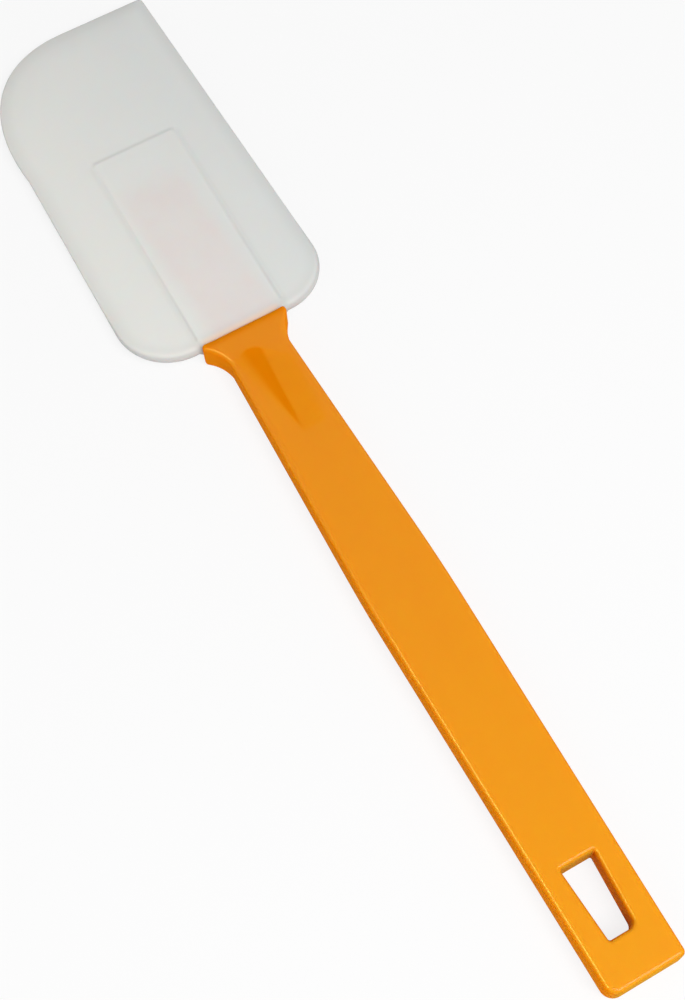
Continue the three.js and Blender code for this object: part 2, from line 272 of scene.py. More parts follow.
class BladeSizes(bpy.types.PropertyGroup):
    """Sizes of the blade, with half widths from the handle's centre line"""

    round_base: length("Round side at base", "Half width on the round tip's side, at the base", 0.02425)
    round_tip: length("Round side at tip", "Half width on the round tip's side, at the tip", 0.02335)
    square_base: length("Square side at base", "Half width on the square tip's side, at base", 0.02375)
    square_tip: length("Square side at tip", "Half width on the square tip's side, at the tip", 0.02175)
    round_base_corner: length("Round side base corner", "Reach of the base corner there", 0.013)
    square_base_corner: length("Square side base corner", "Reach of the base corner there", 0.012)
    tip_reach_side: length("Tip reach along side", "Reach of the round tip along the side", 0.0354)
    tip_reach_end: length("Tip reach along end", "Reach of the round tip along the end", 0.0237)
    tip_swell: length("Tip swell", "How far the round tip swells where it meets the side", 0.0028)
    tip_fullness: share("Tip fullness", "Fullness of the round tip's curve", 0.665)
    tip_corner: length("Tip corner", "Reach of the square tip corner", 0.001)
    base_thickness: length("Base thickness", "Thickness at the base", 0.0028)
    tip_thickness: length("Tip thickness", "Thickness at the tip", 0.0017)
    base_edge: length("Base edge", "Thickness of the edge at the base", 0.0027)
    thin_edge: length("Thin edge", "Thickness of the edge along the sides and tip", 0.0007)
    thick_edge_length: length("Thick edge length", "How far from the base the edge stays thick", 0.024)
    feather: length("Feather", "Width of the border that thins to the edge", 0.007)
    base_rounding: length("Base rounding", "Width of the rounded edge at the base", 0.0017)
    thin_rounding: length("Thin rounding", "Width of the rounded edge elsewhere", 0.0008)
    pad_beyond: length("Pad beyond tongue", "How far the pad runs on beyond the tongue", 0.0103)
    pad_wall: length("Pad wall", "Width of the pad beside the tongue", 0.0032)
    pad_slope: length("Pad slope", "Width of the pad's sloped rim", 0.0012)
    pad_corner: length("Pad corner", "Radius of the pad's corners", 0.0016)
    pad_end_rise: share("Pad rise at end", "Share of the pad's height that is left at its end", 0.5)
    pad_fillet: length("Pad fillet", "Softness of the foot of the pad's rim", 0.0002)
    pad_shift_base: length("Pad shift at base", "Distance from the centre line, at the base", -0.0003)
    pad_shift_end: length("Pad shift at end", "Distance from the centre line, at its end", -0.00077)


class Finishes(bpy.types.PropertyGroup):
    """Colours and gloss of the two mouldings, painted shade and painted bounce light among the colours,
    and the floor's colour
    """

    plastic: colour("Plastic", "Colour of the handle at its end", (0.755, 0.296, 0.005))
    plastic_deep: colour("Plastic, deep", "Colour of the handle at its collar", (0.735, 0.24, 0.008))
    # Painted shade: darker colour for the neck hollow's facet and the band along the collar's front
    plastic_painted_shade: colour("Plastic, hollow", "Colour of hollow and collar front", (0.7, 0.193, 0.0003))
    # Painted shade: darker copies of the plastic for the steep side walls and for the end wall
    plastic_wall_shade: colour("Plastic, wall", "Colour of the handle's side walls", (0.75, 0.2, 0.001))
    plastic_end_shade: colour("Plastic, end", "Colour of the handle's end wall", (0.54, 0.23, 0.012))
    plastic_roughness: share("Plastic roughness", "Roughness of the handle's gloss", 0.2)
    face_gloss: share("Face gloss", "Gloss of the handle's faces", 0.3)
    wall_gloss: share("Wall gloss", "Gloss left on the handle's walls", 0.03)
    # Painted shade: the lit colour on the round side and at the base, and the shaded colour on the
    # square side and towards the tip
    rubber_lit: colour("Rubber, round", "Colour on the round tip's side", (0.729, 0.73, 0.697))
    rubber_shaded: colour("Rubber, square", "Colour on the square tip's side", (0.667, 0.679, 0.662))
    rubber_warm: colour("Warm rubber", "Colour where the tongue shines through", (0.716, 0.634, 0.613))
    # Painted light: orange light that the collar throws onto the blade beside it
    rubber_bounce: colour("Glowing rubber", "Colour right next to the collar", (0.9, 0.67, 0.52))
    # Painted shade: darker colour on the blade's steep rims
    rubber_rim_shade: colour("Rubber edge", "Colour of the blade's steep rims", (0.5, 0.5, 0.49))
    # Painted shade: the blade darkens towards its edge
    rubber_border_shade: share("Rubber border", "How much darker the blade gets towards its edge", 0.08)
    # Painted shade along the foot of the pad's sides
    rubber_crease_shade: share("Rubber crease", "How much darker the blade is along the pad's sides", 0.045)
    rubber_roughness: share("Rubber roughness", "Roughness of the blade", 0.55)
    floor: colour("Floor", "Colour of the floor", (0.75, 0.75, 0.75))


class StageSettings(bpy.types.PropertyGroup):
    """Camera and light"""

    camera_place: place("Camera place", "Where the camera stands", (-0.138863, 0.057814, 0.29604))
    camera_aim: place("Camera aim", "Where the camera looks", (-0.014067, 0.000363, 0))
    camera_roll: angle("Camera roll", "Turn about the view", -4.98)
    camera_lens: FloatProperty(
        name="Lens", description="Focal length on a 36 mm sensor", default=57.066, unit="CAMERA"
    )
    front_power: power("Front lamp", "Power of the lamp past the handle's end", 5.05)
    side_power: power("Side lamp", "Power of the weak lamp at the side", 0.5)
    strip_power: power("Strip lamp", "Power of the strip that only the gloss shows", 15)
    sky: FloatProperty(name="Sky", description="Strength of the light from all round", default=1, min=0)


class Value:
    """One output of a node. Arithmetic on it adds Math nodes to its tree."""

    def __init__(self, nodes, socket):
        self.nodes = nodes
        self.socket = socket

    def out(self, name):
        return Value(self.nodes, self.socket.node.outputs[name])

    def __add__(self, other):
        return self.nodes.math("ADD", self, other)

    def __radd__(self, other):
        return self.nodes.math("ADD", other, self)

    def __sub__(self, other):
        return self.nodes.math("SUBTRACT", self, other)

    def __rsub__(self, other):
        return self.nodes.math("SUBTRACT", other, self)

    def __mul__(self, other):
        return self.nodes.math("MULTIPLY", self, other)

    def __rmul__(self, other):
        return self.nodes.math("MULTIPLY", other, self)

    def __truediv__(self, other):
        return self.nodes.math("DIVIDE", self, other)

    def __pow__(self, other):
        return self.nodes.math("POWER", self, other)

    def __neg__(self):
        return self.nodes.math("MULTIPLY", self, -1)

    def __abs__(self):
        return self.nodes.math("ABSOLUTE", self)


class Nodes:
    """A node tree that is written as expressions"""

    def __init__(self, tree):
        self.tree = tree
        tree.nodes.clear()

    def add(self, kind, settings=None, inputs=None, output=0):
        node = self.tree.nodes.new(kind)
        for name, setting in (settings or {}).items():
            setattr(node, name, setting)
        for name, value in (inputs or {}).items():
            self.feed(node.inputs[name], value)
        return Value(self, node.outputs[output]) if node.outputs else node

    def feed(self, socket, value):
        for one in value if isinstance(value, list) else [value]:
            if isinstance(one, Value):
                self.tree.links.new(one.socket, socket)
            else:
                socket.default_value = one

    def math(self, operation, *values):
        return self.add("ShaderNodeMath", {"operation": operation}, dict(enumerate(values)))

    def least(self, a, b):
        return self.math("MINIMUM", a, b)

    def most(self, a, b):
        return self.math("MAXIMUM", a, b)

    def sine(self, value):
        return self.math("SINE", value)

    def clamp(self, value):
        return self.add("ShaderNodeClamp", None, {"Value": value})

    def rise(self, value, low, high):
        """Smooth step from 0 at low to 1 at high."""
        ends = {"Value": value, "From Min": low, "From Max": high}
        return self.add("ShaderNodeMapRange", {"interpolation_type": "SMOOTHSTEP"}, ends)

    def between(self, low, high, along):
        return low + (high - low) * along

    def vector(self, x, y, z):
        return self.add("ShaderNodeCombineXYZ", None, {"X": x, "Y": y, "Z": z})

    def axes(self, vector):
        parts = self.add("ShaderNodeSeparateXYZ", None, {"Vector": vector})
        return [parts.out(axis) for axis in "XYZ"]

    def blend(self, along, first, second):
        """Colour between two colours."""
        ends = {MIX_FACTOR: along, MIX_FIRST: opaque(first), MIX_SECOND: opaque(second)}
        return self.add("ShaderNodeMix", {"data_type": "RGBA"}, ends, MIX_COLOUR)


def opaque(tint):
    return tint if isinstance(tint, Value) else (*tint, 1)


class Shape(Nodes):
    """A tree of geometry nodes that turns a flat sheet into a moulding"""

    def __init__(self, name, sizes):
        super().__init__(bpy.data.node_groups.new(name, "GeometryNodeTree"))
        faces = self.tree.interface
        faces.new_socket("Sheet", in_out="INPUT", socket_type="NodeSocketGeometry")
        faces.new_socket("Moulding", in_out="OUTPUT", socket_type="NodeSocketGeometry")
        self.sizes = sizes
        for size in sizes:
            faces.new_socket(size, in_out="INPUT", socket_type="NodeSocketFloat")
        self.inputs = self.add("NodeGroupInput")

    def size(self, name):
        return self.inputs.out(name)

    def attribute(self, name):
        return self.add("GeometryNodeInputNamedAttribute", {"data_type": "FLOAT"}, {"Name": name})

    def store(self, sheet, name, value):
        kind = {"data_type": "FLOAT", "domain": "POINT"}
        inputs = {"Geometry": sheet, "Name": name, "Value": value}
        return self.add("GeometryNodeStoreNamedAttribute", kind, inputs)

    def lift(self, sheet, height):
        offset = self.vector(0, 0, height)
        return self.add("GeometryNodeSetPosition", None, {"Geometry": sheet, "Offset": offset})

    def border(self):
        faces = self.add("GeometryNodeInputMeshEdgeNeighbors")
        return self.math("COMPARE", faces, BORDER_FACES, COUNT_TOLERANCE)

    def split(self, mesh, part, domain="POINT"):
        """The part of a mesh where a value is over a half."""
        inputs = {"Geometry": mesh, "Selection": part}
        return self.add("GeometryNodeSeparateGeometry", {"domain": domain}, inputs)

    def moulded(self, sheet, upper, lower):
        """Closed body between two heights over a flat sheet."""
        sheet = self.store(self.store(sheet, "upper", upper), "lower", lower)
        lower = self.attribute("lower")
        top = self.lift(sheet, self.attribute("upper"))
        edges = {"Mesh": top, "Selection": self.border(), "Offset Scale": 0}
        walled = self.add("GeometryNodeExtrudeMesh", {"mode": "EDGES"}, edges)
        x, y, _ = self.axes(self.add("GeometryNodeInputPosition"))
        foot = self.vector(x, y, lower)
        inputs = {"Geometry": walled, "Selection": walled.out("Top"), "Position": foot}
        walled = self.add("GeometryNodeSetPosition", None, inputs)
        bottom = self.add("GeometryNodeFlipFaces", None, {"Mesh": self.lift(sheet, lower)})
        both = self.add("GeometryNodeJoinGeometry", None, {"Geometry": [walled, bottom]})
        inputs = {"Geometry": both, "Distance": MERGE_DISTANCE}
        return self.add("GeometryNodeMergeByDistance", None, inputs)

    def combine(self, operation, body, tool):
        kind = {"operation": operation, "solver": "MANIFOLD"}
        inputs = {"Mesh 2": [body, tool]} if operation == "UNION" else {"Mesh 1": body, "Mesh 2": tool}
        return self.add("GeometryNodeMeshBoolean", kind, inputs)

    def finish(self, moulding, material):
        whole = self.add("GeometryNodeRealizeInstances", None, {"Geometry": moulding})
        painted = self.add("GeometryNodeSetMaterial", None, {"Geometry": whole, "Material": material})
        self.add("NodeGroupOutput", None, {"Moulding": painted})

    def mesh(self, piece):
        """Gives a piece the plain mesh that this tree makes from the piece's flat sheet."""
        modifier = piece.modifiers.new(piece.name, "NODES")
        modifier.node_group = self.tree
        for item in self.tree.interface.items_tree:
            if item.name in self.sizes:
                modifier[item.identifier] = self.sizes[item.name]
        evaluated = piece.evaluated_get(bpy.context.evaluated_depsgraph_get())
        mesh = bpy.data.meshes.new_from_object(evaluated)
        piece.modifiers.remove(modifier)
        flat = piece.data
        piece.data = mesh
        bpy.data.meshes.remove(flat)
        for name in {"rim", "plate", "upper", "lower"} & set(mesh.attributes.keys()):
            mesh.attributes.remove(mesh.attributes[name])
        mesh.shade_smooth()
        mesh.set_sharp_from_angle(angle=SHARP_ANGLE)


def arc(centre, radius, start, end):
    """Points on an arc between two angles, both ends included."""
    turns = np.linspace(start, end, CORNER_STEPS + 1)
    return np.array(centre) + radius * np.column_stack([np.cos(turns), np.sin(turns)])


def bezier(*controls):
    """Points on the curve that a few control points draw, both ends included."""
    along = np.linspace(0, 1, CURVE_STEPS + 1)[:, None]
    levels = [np.array(control, float)[None] for control in controls]
    while len(levels) > 1:
        levels = [a + (b - a) * along for a, b in zip(levels, levels[1:])]
    return levels[0]


def rounded(corners):
    """Closed outline through corners, each with its reach along the sides before and after it."""
    outline = []
    for i, corner in enumerate(corners):
        at = np.array(corner["at"])
        back = np.array(corners[i - 1]["at"]) - at
        ahead = np.array(corners[(i + 1) % len(corners)]["at"]) - at
        back = back / np.hypot(*back)
        ahead = ahead / np.hypot(*ahead)
        before, after = corner["reach"]
        fullness = corner.get("fullness", ROUND_CORNER)
        outwards = np.array([ahead[1], -ahead[0]]) * corner.get("swell", 0)
        outline.append(
            bezier(
                at + back * before,
                at + back * before * (1 - fullness),
                at + ahead * after * (1 - fullness) + outwards,
                at + ahead * after,
            )
        )
    return np.concatenate(outline)


def cut(points, step):
    """A closed outline with no two points alike and no side longer than a step."""
    fine = []
    for a, b in zip(points, np.roll(points, -1, axis=0)):
        reach = np.hypot(*(b - a))
        if reach > MERGE_DISTANCE:
            count = math.ceil(reach / step)
            fine.extend(a + (b - a) * k / count for k in range(count))
    return np.array(fine)


def inwards(outline):
    """Normals to the left of the way round, longer at corners so that an inset keeps its width."""
    ahead = np.roll(outline, -1, axis=0) - outline
    ahead /= np.hypot(ahead[:, 0], ahead[:, 1])[:, None]
    after = np.column_stack([-ahead[:, 1], ahead[:, 0]])
    before = np.roll(after, 1, axis=0)
    half = before + after
    return 2 * half / (half**2).sum(axis=1)[:, None]


def is_inside(points, outline):
    x, y = points[:, 0], points[:, 1]
    odd = np.zeros(len(points), bool)
    for (ax, ay), (bx, by) in zip(outline, np.roll(outline, -1, axis=0)):
        if ay != by:
            odd ^= ((ay > y) != (by > y)) & (x < (bx - ax) * (y - ay) / (by - ay) + ax)
    return odd


def lattice(low, high, step):
    """Points of a lattice of triangles over a box."""
    row = step * math.sqrt(3) / 2
    points = []
    for j, y in enumerate(np.arange(low[1], high[1], row)):
        xs = np.arange(low[0] + (j % 2) * step / 2, high[0], step)
        points.append(np.column_stack([xs, np.full(len(xs), y)]))
    return np.concatenate(points)


def spaced(points, fixed, clearance):
    """The points that keep a clearance to all fixed ones."""
    tree = kdtree.KDTree(len(fixed))
    for i, (x, y) in enumerate(fixed):
        tree.insert((x, y, 0), i)
    tree.balance()
    return np.array([p for p in points if tree.find((*p, 0))[2] > clearance])


class Sheet:
    """A flat sheet of faces

    Each point says how far across a rounded rim it lies, from 0 to 1, and whether it is in the plate.
    """

    def __init__(self):
        self.points = []
        self.rim = []
        self.plate = []
        self.faces = []

    def add_points(self, points, rim, plate):
        first = len(self.points)
        self.points.extend((x, y, 0) for x, y in points)
        self.rim.extend([rim] * len(points))
        self.plate.extend([plate] * len(points))
        return list(range(first, first + len(points)))

    def add_rim(self, outline, width, plate=0):
        """Rings from an outline across its rounded rim. Returns the innermost ring and its numbers."""
        normals = inwards(outline)
        width = np.broadcast_to(width, len(outline))[:, None]
        turns = np.linspace(0, 1, RIM_STEPS + 1)
        rings = [(width * (1 - math.cos(t * QUARTER_TURN)), t) for t in turns]
        rings.append((width + RIM_HOLD, 1))
        outer = None
        for inset, turn in rings:
            inner_points = outline + normals * inset
            inner = self.add_points(inner_points, turn, plate)
            if outer:
                loop = zip(outer, outer[1:] + outer[:1], inner[1:] + inner[:1], inner)
                self.faces.extend(loop)
            outer = inner
        return inner_points, inner

    def add_cap(self, loops, inner_points, plate=0):
        """Triangles inside the first loop, through the inner points. Other loops are convex holes."""
        numbers = [number for _, loop in loops for number in loop]
        numbers += self.add_points(inner_points, 1, plate)
        flat = [Vector(self.points[number][:2]) * CDT_SCALE for number in numbers]
        edges = []
        first = 0
        for _, loop in loops:
            ring = list(range(first, first + len(loop)))
            edges.extend(zip(ring, ring[1:] + ring[:1]))
            first += len(loop)
        found = geometry.delaunay_2d_cdt(flat, edges, [], CDT_INSIDE, MERGE_DISTANCE)
        faces, origins = found[2], found[3]
        holes = [set(loop) for _, loop in loops[1:]]
        for face in faces:
            triangle = [numbers[origins[i][0]] for i in face]
            if not any(hole.issuperset(triangle) for hole in holes):
                self.faces.append(triangle)

    def mesh(self, name, material):
        mesh = bpy.data.meshes.new(name)
        mesh.from_pydata(self.points, [], self.faces)
        mesh.materials.append(material)
        for label, values in (("rim", self.rim), ("plate", self.plate)):
            mesh.attributes.new(label, "FLOAT", "POINT").data.foreach_set("value", values)
        return mesh


def inner_lattice(loops, low, high, step, fixed=None):
    """Lattice points inside the first loop, outside the others and clear of all points there."""
    points = lattice(low, high, step)
    points = points[is_inside(points, loops[0][0])]
    for outline, _ in loops[1:]:
        points = points[~is_inside(points, outline)]
    there = [outline for outline, _ in loops]
    if fixed is not None:
        there.append(fixed)
    return spaced(points, np.concatenate(there), step * LATTICE_CLEARANCE)


def smooth_step(value, low, high):
    along = np.clip((value - low) / (high - low), 0, 1)
    return along * along * (3 - 2 * along)


def link(name, mesh):
    piece = bpy.data.objects.new(name, mesh)
    bpy.context.scene.collection.objects.link(piece)
    return piece


def collar_front(sizes):
    return BLADE_BASE - sizes.fit_gap


def side_sizes(sizes, side):
    """Sizes of the handle's left or right side."""
    return {name: getattr(sizes, f"{size}_{side}") for name, size in SIDE_SIZES.items()}


def flare(sizes, side):
    """Angle that a side's flare turns through, and where along the handle it starts and ends."""
    radius, bend = side["radius"], side["bend"]
    sweep = radius + sizes.collar_corner
    level = side["neck"] + radius * math.cos(bend)
    turn = math.acos((level + sizes.collar_corner - COLLAR_HALF) / sweep)
    end = collar_front(sizes) - sizes.collar_corner - sizes.collar_side
    start = end - sweep * math.sin(turn) + radius * math.sin(bend)
    return turn, start, end


def handle_side(sizes, side):
    """One side of the handle bar, from the end's middle to the collar's front."""
    end = sizes.end_width / 2
    corner, hip, neck = side["corner"], side["hip"], side["neck"]
    radius, bend = side["radius"], side["bend"]
    collar = sizes.collar_corner
    hip_x = HANDLE_END + sizes.hip_place
    turn, flare_start, flare_end = flare(sizes, side)
    flare_centre = (flare_start - radius * math.sin(bend), neck + radius * math.cos(bend))
    grip_slope = (hip - end) / sizes.hip_place
    neck_slope = (neck - hip) / (flare_start - hip_x)
    return np.concatenate(
        [
            arc((HANDLE_END + corner, end - corner), corner, math.pi, QUARTER_TURN),
            bezier(
                (hip_x - sizes.hip_blend, hip - grip_slope * sizes.hip_blend),
                (hip_x, hip),
                (hip_x + sizes.hip_blend, hip + neck_slope * sizes.hip_blend),
            ),
            arc(flare_centre, radius, bend - QUARTER_TURN, turn - QUARTER_TURN),
            arc((flare_end, COLLAR_HALF - collar), collar, turn + QUARTER_TURN, QUARTER_TURN),
            arc((collar_front(sizes) - collar, COLLAR_HALF - collar), collar, QUARTER_TURN, 0),
        ]
    )


def handle_outline(sizes):
    """Outline of the handle bar, anticlockwise."""
    left = handle_side(sizes, side_sizes(sizes, "left"))
    right = handle_side(sizes, side_sizes(sizes, "right"))
    return cut(np.concatenate([right * (1, -1), left[::-1]]), OUTLINE_STEP)


def hang_hole(sizes):
    """Outline of the hang hole, with the handle on the left of the way round."""
    near = HANDLE_END + sizes.hole_place
    far = near + sizes.hole_length
    narrow = sizes.hole_narrow / 2
    wide = sizes.hole_wide / 2
    sharp = (sizes.hole_corner,) * 2
    corners = [
        {"at": (near, -narrow), "reach": (sizes.hole_round_corner,) * 2},
        {"at": (near, narrow), "reach": sharp},
        {"at": (far, wide), "reach": sharp},
        {"at": (far, -wide), "reach": sharp},
    ]
    return cut(rounded(corners), OUTLINE_STEP)


def tongue_outline(sizes, clearance):
    """Outline of the tongue, or of its socket with a clearance, anticlockwise."""
    root_x = collar_front(sizes) - sizes.tongue_root
    tip_x = TONGUE_TIP + clearance
    root = sizes.tongue_width / 2 + clearance
    tip = sizes.tongue_tip / 2 + clearance
    reach = (sizes.tongue_corner,) * 2
    places = ((root_x, -root), (tip_x, -tip), (tip_x, tip), (root_x, root))
    return cut(rounded([{"at": at, "reach": reach} for at in places]), OUTLINE_STEP)


def add_plate(sheet, outline, rim):
    """A flat plate with rounded rims, as a part of its own in the sheet."""
    loop = sheet.add_rim(outline, rim, plate=1)
    low = outline.min(axis=0)
    high = outline.max(axis=0)
    sheet.add_cap([loop], inner_lattice([loop], low, high, GRIP_LATTICE), plate=1)


def handle_rims(sizes, outline):
    """Width of the rounded rim at each point of the handle's outline."""
    _, flare_start, flare_end = flare(sizes, side_sizes(sizes, "left"))
    corner = sizes.end_corner_left
    collar = flare_end - sizes.collar_corner
    widths = {
        HANDLE_END + corner: sizes.end_rim,
        HANDLE_END + END_RIM_REACH * corner: sizes.grip_rim,
        HANDLE_END + sizes.hip_place: sizes.grip_rim,
        flare_start: sizes.neck_rim,
        collar: sizes.collar_rim,
    }
    along = np.interp(outline[:, 0], list(widths), list(widths.values()))
    front_end = COLLAR_HALF - sizes.collar_corner
    reach = (front_end - FRONT_RIM_REACH * sizes.front_rim, front_end)
    across = np.interp(abs(outline[:, 1]), reach, (sizes.front_rim, sizes.collar_rim))
    return np.where(outline[:, 0] > collar_front(sizes) - MERGE_DISTANCE, across, along)


def handle_sheet(sizes, material):
    sheet = Sheet()
    outline = handle_outline(sizes)
    loops = [
        sheet.add_rim(outline, handle_rims(sizes, outline)),
        sheet.add_rim(hang_hole(sizes), sizes.end_rim),
    ]
    top = collar_front(sizes) - sizes.hollow_top
    low = (top - sizes.hollow_length, -sizes.hollow_run - sizes.hollow_drift)
    high = (top + NECK_LATTICE, sizes.hollow_width + NECK_LATTICE)
    fine = inner_lattice(loops[:1], low, high, NECK_LATTICE)
    coarse = inner_lattice(loops, outline.min(axis=0), outline.max(axis=0), GRIP_LATTICE, fine)
    sheet.add_cap(loops, np.concatenate([fine, coarse]))
    add_plate(sheet, tongue_outline(sizes, 0), sizes.tongue_rim)
    return sheet.mesh("handle_sheet", material)


def plate_faces(shape, rounding):
    """Upper and lower height of a flat plate at mid height, with rounded rims."""
    drop = shape.size("Plate rim") * (1 - rounding)
    half = shape.size("Plate half thickness") - drop
    return MIDDLE + half, MIDDLE - half


def hollow_sizes(sizes):
    return {
        "Hollow top": collar_front(sizes) - sizes.hollow_top,
        "Hollow length": sizes.hollow_length,
        "Hollow width": sizes.hollow_width,
        "Hollow drift": sizes.hollow_drift,
        "Hollow run": sizes.hollow_run,
        "Hollow end": sizes.hollow_end,
        "Hollow bow": sizes.hollow_bow,
    }


def neck_hollow(nodes, size, x, y):
    """Place across the neck's hollow, and how deep it is along its length.

    The place goes from 1 at the facet's outer edge through 0 at the crease to -1 past the gentle side.
    """
    from_top = size("Hollow top") - x
    along = nodes.clamp(from_top / size("Hollow length"))
    width = nodes.most(size("Hollow width") * (1 - along), RIM_HOLD)
    across = y - size("Hollow drift") * (along - 0.5)
    facet = nodes.most(across, 0) / width + nodes.least(across, 0) / size("Hollow run")
    bow = size("Hollow bow")
    round_top = bow * (2 * nodes.clamp(facet) - 1) ** 2 - bow * nodes.least(facet, 0) * HOLLOW_FALL
    fade = (1 - along) * nodes.rise(from_top - round_top, 0, size("Hollow end"))
    return facet, fade


def handle_shape(sizes, material):
    shape = Shape(
        "Handle moulding",
        {
            "Underside": UNDERSIDE,
            "Top": TOP,
            "Rim": sizes.rim,
            "Hollow depth": sizes.hollow_depth,
            **hollow_sizes(sizes),
            "Plate half thickness": sizes.tongue_thickness / 2,
            "Plate rim": sizes.tongue_rim,
        },
    )
    x, y, _ = shape.axes(shape.add("GeometryNodeInputPosition"))
    rounding = shape.sine(shape.attribute("rim") * QUARTER_TURN)
    drop = shape.size("Rim") * (1 - rounding)
    facet, fade = neck_hollow(shape, shape.size, x, y)
    gentle = shape.rise(facet, -1, 0)
    hollow = shape.size("Hollow depth") * fade * gentle * (1 - shape.clamp(facet))
    plate = shape.attribute("plate")
    plate_upper, plate_lower = plate_faces(shape, rounding)
    upper = shape.between(shape.size("Top") - drop - hollow, plate_upper, plate)
    lower = shape.between(shape.size("Underside") + drop, plate_lower, plate)
    solid = shape.moulded(shape.size("Sheet"), upper, lower)
    parts = shape.split(solid, plate)
    shape.finish(shape.combine("UNION", parts.out("Inverted"), parts.out("Selection")), material)
    return shape


def blade_outline(sizes):
    """Outline of the blade, anticlockwise."""
    tip = (sizes.tip_corner,) * 2
    corners = [
        {"at": (BLADE_BASE, -sizes.square_base), "reach": (sizes.square_base_corner,) * 2},
        {"at": (BLADE_TIP, -sizes.square_tip), "reach": tip},
        {
            "at": (BLADE_TIP, sizes.round_tip),
            "reach": (sizes.tip_reach_end, sizes.tip_reach_side),
            "fullness": sizes.tip_fullness,
            "swell": sizes.tip_swell,
        },
        {"at": (BLADE_BASE, sizes.round_base), "reach": (sizes.round_base_corner,) * 2},
    ]
    return cut(rounded(corners), OUTLINE_STEP)


def pad_half_width(blade, handle):
    return handle.tongue_width / 2 + handle.fit_gap + blade.pad_wall


def pad_lines(blade, handle):
    """Points along the pad's rim, on lines beside its outline."""
    far = TONGUE_TIP + blade.pad_beyond
    near = BLADE_BASE - handle.tongue_root
    at_near, at_far = blade.pad_shift_base, blade.pad_shift_end
    points = []
    for offset in PAD_OFFSETS:
        half = pad_half_width(blade, handle) + offset
        reach = (max(blade.pad_corner + offset, PAD_STEP),) * 2
        end = far + offset
        right = ((near, at_near - half), (end, at_far - half))
        left = ((end, at_far + half), (near, at_near + half))
        corners = [{"at": at, "reach": reach} for at in right + left]
        points.append(cut(rounded(corners), PAD_STEP))
    return np.concatenate(points)


def blade_sheet(blade, handle, material):
    sheet = Sheet()
    outline = blade_outline(blade)
    thin = smooth_step(outline[:, 0], BLADE_BASE, BLADE_BASE + blade.thick_edge_length)
    width = blade.base_rounding + (blade.thin_rounding - blade.base_rounding) * thin
    loop = sheet.add_rim(outline, width)
    pad = pad_lines(blade, handle)
    pad = spaced(pad[is_inside(pad, loop[0])], loop[0], PAD_STEP)
    field = inner_lattice([loop], outline.min(axis=0), outline.max(axis=0), BLADE_LATTICE, pad)
    sheet.add_cap([loop], np.concatenate([pad, field]))
    add_plate(sheet, tongue_outline(handle, handle.fit_gap), handle.tongue_rim)
    return sheet.mesh("blade_sheet", material)


